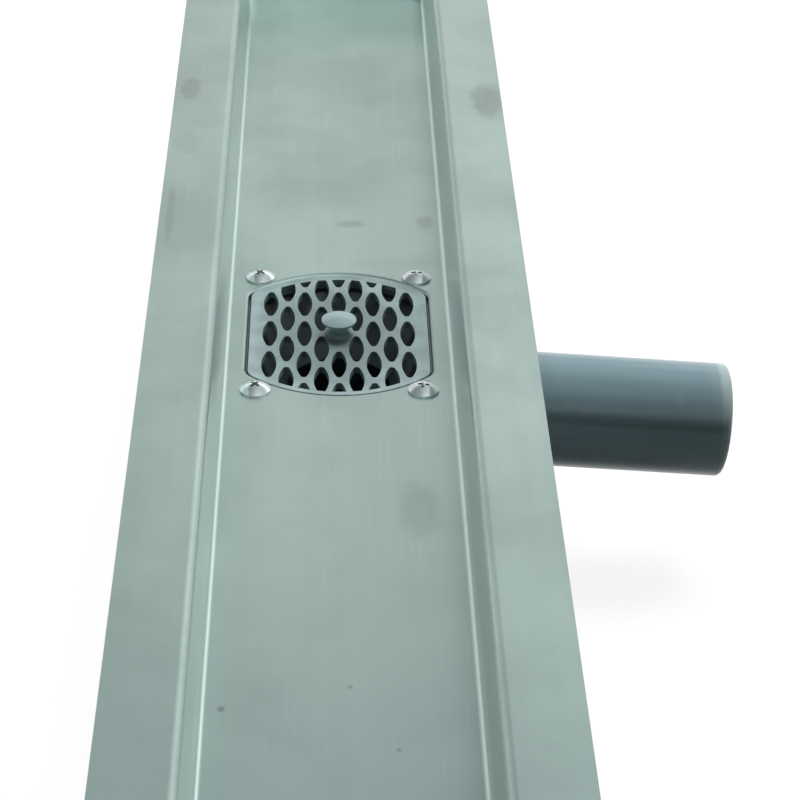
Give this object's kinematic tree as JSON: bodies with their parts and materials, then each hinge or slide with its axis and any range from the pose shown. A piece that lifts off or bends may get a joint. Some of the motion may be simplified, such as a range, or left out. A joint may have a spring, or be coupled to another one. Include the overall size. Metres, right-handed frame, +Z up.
{
  "type": "linear channel drain",
  "caption": "Recessed stainless linear floor drain: flanged tray, strainer over a water-seal trap, side outlet spigot for a waste pipe, and levelling feet.",
  "frame": {"origin": "middle of the channel in the top plane of the flange, where the cover grate drops in", "axes": "+X across the channel towards the outlet, +Y along the channel, +Z up out of the channel"},
  "size_m": [0.2538, 0.8, 0.142],
  "materials": {
    "tray_steel": "satin, pickled stainless sheet",
    "screw_steel": "polished stainless",
    "zinc_steel": "bright stainless",
    "strap_steel": "mill finish stainless",
    "brass": "turned",
    "trap_plastic": "moulded, fine texture",
    "strainer_plastic": "moulded, satin",
    "knob_plastic": "moulded, glossy",
    "insert_plastic": "moulded",
    "pipe_plastic": "extruded, semi-gloss",
    "rubber": "smooth",
    "pad_plastic": "moulded"
  },
  "bodies": {
    "tray": {"channel_tray": "tray_steel", "trap_gasket": "rubber", "trap_body": "trap_plastic", "threaded_inserts": "brass", "flange_screws": "screw_steel", "strainer": "strainer_plastic", "lift_knob": "knob_plastic", "trap_insert": "insert_plastic", "insert_seal": "rubber", "outlet_pipe": "pipe_plastic", "outlet_seal": "rubber", "lock_nuts": "zinc_steel", "levelling_nuts": "zinc_steel", "support_strap_front": "strap_steel", "support_strap_rear": "strap_steel"},
    "foot_front_left": {"foot_stud_front_left": "zinc_steel", "foot_pad_front_left": "pad_plastic"},
    "foot_front_right": {"foot_stud_front_right": "zinc_steel", "foot_pad_front_right": "pad_plastic"},
    "foot_rear_left": {"foot_stud_rear_left": "zinc_steel", "foot_pad_rear_left": "pad_plastic"},
    "foot_rear_right": {"foot_stud_rear_right": "zinc_steel", "foot_pad_rear_right": "pad_plastic"}
  },
  "joints": [
    {"name": "level_front_left", "type": "slide", "parent": "tray", "child": "foot_front_left", "axis": [0, 0, -1], "range_m": [-0.008, 0.018]},
    {"name": "level_front_right", "type": "slide", "parent": "tray", "child": "foot_front_right", "axis": [0, 0, -1], "range_m": [-0.008, 0.018]},
    {"name": "level_rear_left", "type": "slide", "parent": "tray", "child": "foot_rear_left", "axis": [0, 0, -1], "range_m": [-0.008, 0.018]},
    {"name": "level_rear_right", "type": "slide", "parent": "tray", "child": "foot_rear_right", "axis": [0, 0, -1], "range_m": [-0.008, 0.018]}
  ]
}
